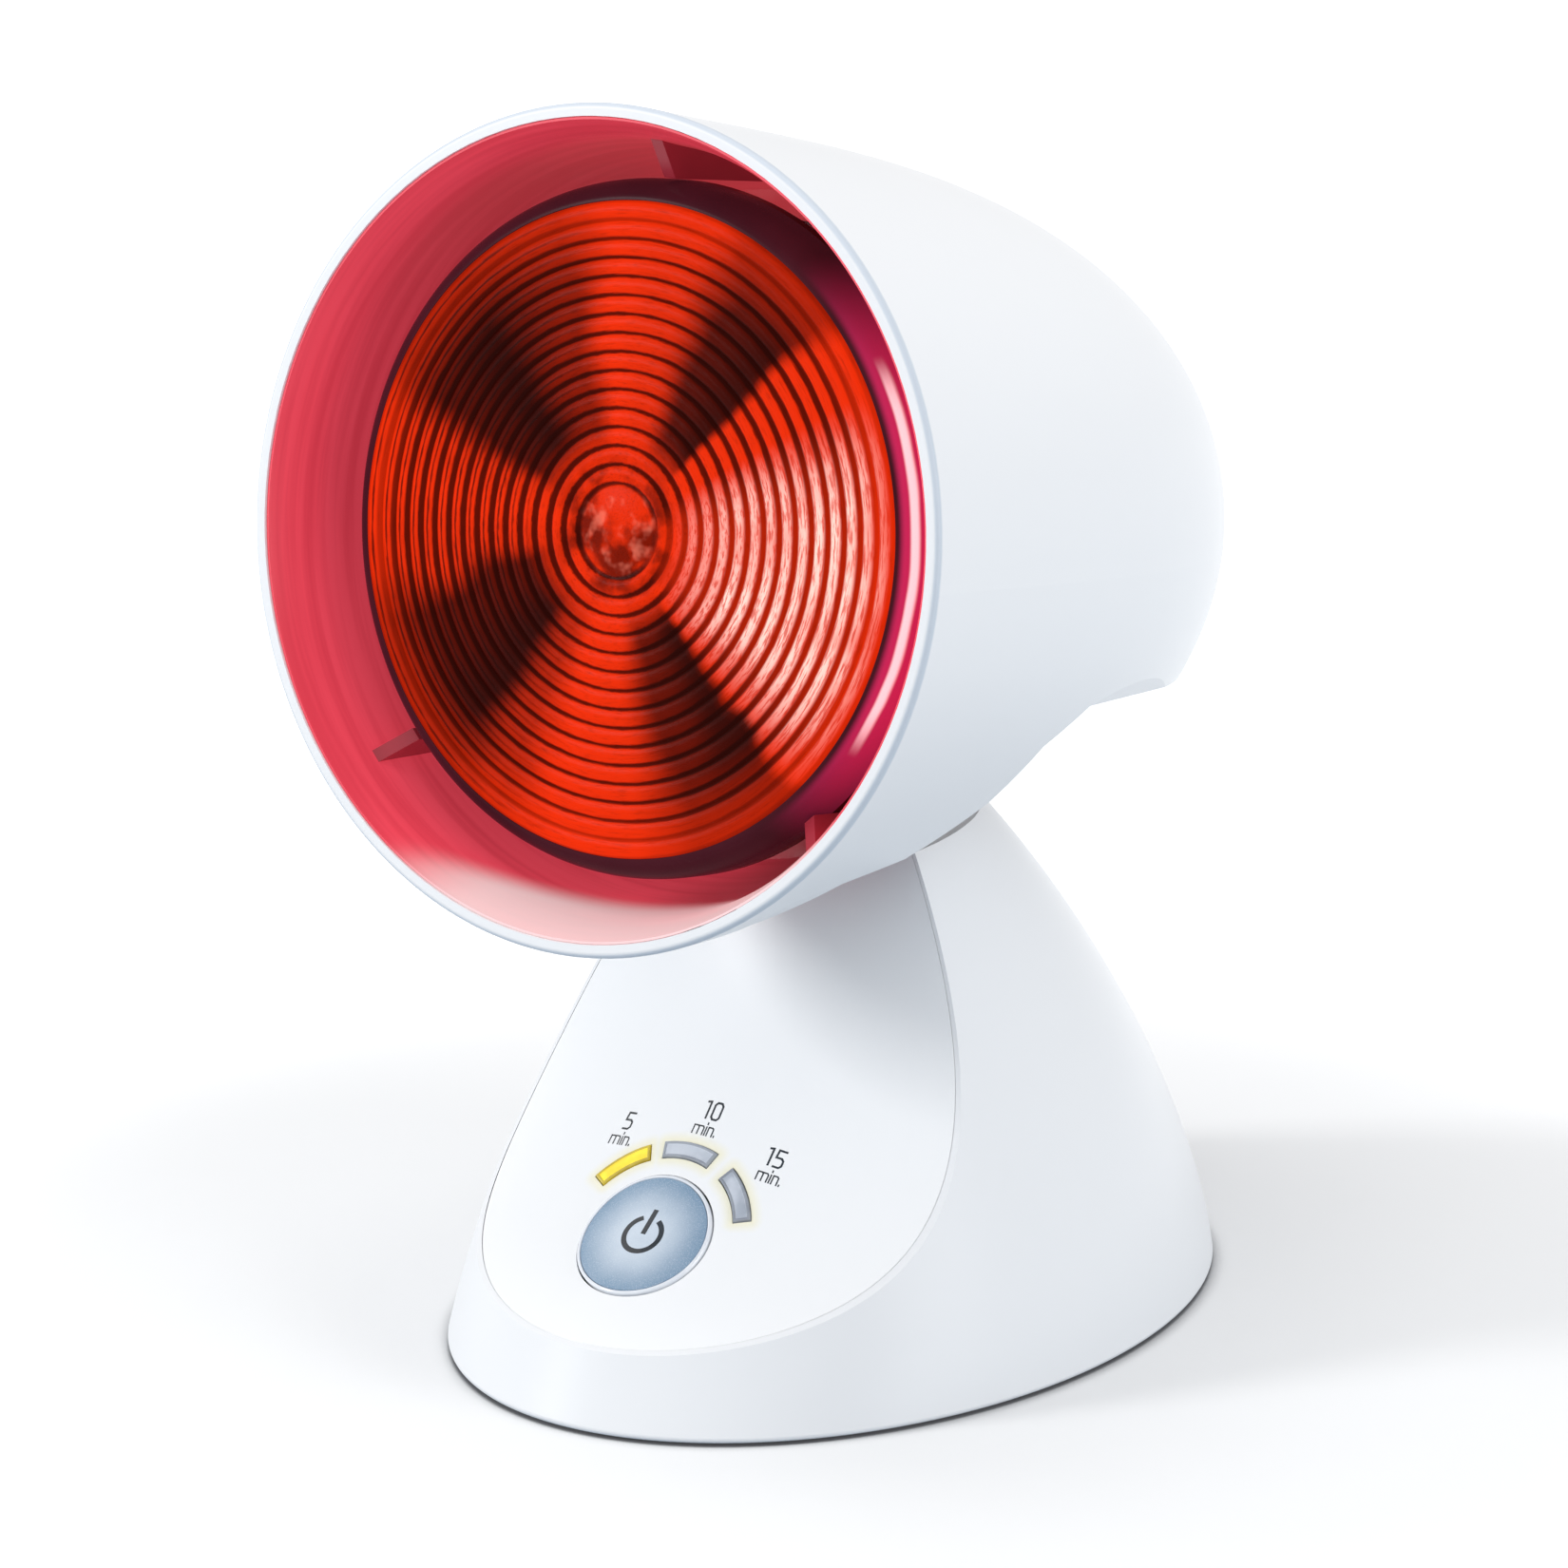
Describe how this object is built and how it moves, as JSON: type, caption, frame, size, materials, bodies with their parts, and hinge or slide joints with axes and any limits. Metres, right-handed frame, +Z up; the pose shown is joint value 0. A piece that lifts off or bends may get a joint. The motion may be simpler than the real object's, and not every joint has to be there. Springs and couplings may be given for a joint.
{
  "type": "infrared heat therapy lamp",
  "caption": "Table infrared lamp: a round tilting head with a ribbed red bulb in a glossy liner, on a sculpted foot with a timer button and light windows.",
  "frame": {"origin": "middle of the lamp's outline seen from above, on the surface that the rubber feet stand on", "axes": "+Z up, the lamp shines towards -Y, +X to the right of someone who stands behind the lamp and looks along its light"},
  "size_m": [0.1448, 0.1727, 0.23],
  "materials": {
    "shell_white": "glossy cool white moulding",
    "cowl_white": "satin cool white moulding",
    "liner_red": "glossy translucent red moulding",
    "bulb_glass_red": "pressed red glass with concentric ribs",
    "bulb_glass_back": "mirrored red glass",
    "cap_metal": "rolled metal screw cap",
    "ceramic": "glazed porcelain",
    "brass": "rolled brass",
    "steel": "zinc plated steel",
    "button_blue": "metallic blue moulding",
    "window_lit": "clear light window, lit yellow",
    "window_clear": "clear light window, unlit",
    "board_green": "fibreglass circuit board",
    "black_plastic": "black moulding",
    "terminal_ivory": "ivory terminal moulding",
    "rubber_grey": "soft grey rubber",
    "washer_fibre": "brown fibre friction disc",
    "lead_silicone": "heat-proof silicone sleeve"
  },
  "bodies": {
    "foot": {"base_housing": "shell_white", "base_plate": "cowl_white", "base_screw_1": "steel", "base_screw_2": "steel", "base_screw_3": "steel", "base_screw_4": "steel", "board_screw_left": "steel", "board_screw_right": "steel", "cord_gland": "rubber_grey", "friction_washer_left": "washer_fibre", "friction_washer_right": "washer_fibre", "front_panel": "shell_white", "lamp_lead_foot": "lead_silicone", "led_10_min": "terminal_ivory", "led_15_min": "terminal_ivory", "led_5_min": "terminal_ivory", "pivot_clip_left": "steel", "pivot_clip_right": "steel", "pivot_pin": "steel", "pivot_post": "steel", "pivot_tube": "steel", "post_screw_left": "steel", "post_screw_right": "steel", "relay": "black_plastic", "rubber_foot_1": "rubber_grey", "rubber_foot_2": "rubber_grey", "rubber_foot_3": "rubber_grey", "rubber_foot_4": "rubber_grey", "supply_lead": "lead_silicone", "tact_switch": "black_plastic", "terminal_block": "terminal_ivory", "timer_board": "board_green", "window_10_min": "window_clear", "window_15_min": "window_clear", "window_5_min": "window_lit"},
    "head": {"bracket_screw_left": "steel", "bracket_screw_right": "steel", "bulb_bowl": "bulb_glass_back", "bulb_cap": "cap_metal", "bulb_lens": "bulb_glass_red", "centring_fin_1": "liner_red", "centring_fin_2": "liner_red", "centring_fin_3": "liner_red", "head_cowl": "cowl_white", "head_shell": "shell_white", "holder_plate": "steel", "holder_ring": "cap_metal", "holder_screw_1": "steel", "holder_screw_2": "steel", "holder_screw_3": "steel", "holder_sleeve": "brass", "lamp_lead_head": "lead_silicone", "lampholder": "ceramic", "shade_liner": "liner_red", "tilt_bracket_left": "steel", "tilt_bracket_right": "steel", "vent_cap": "cowl_white"},
    "button": {"power_button": "button_blue", "switch_plunger": "black_plastic"}
  },
  "joints": [
    {"name": "head_tilt", "type": "hinge", "parent": "foot", "child": "head", "pos_m": [0, 0.005, 0.103], "axis": [-1, 0, 0], "range_deg": [-20, 20]},
    {"name": "button_press", "type": "slide", "parent": "foot", "child": "button", "axis": [0, 0.6105, -0.792], "range_m": [0, 0.001], "stiffness_N_per_m": 800, "springref_m": -0.0004}
  ]
}
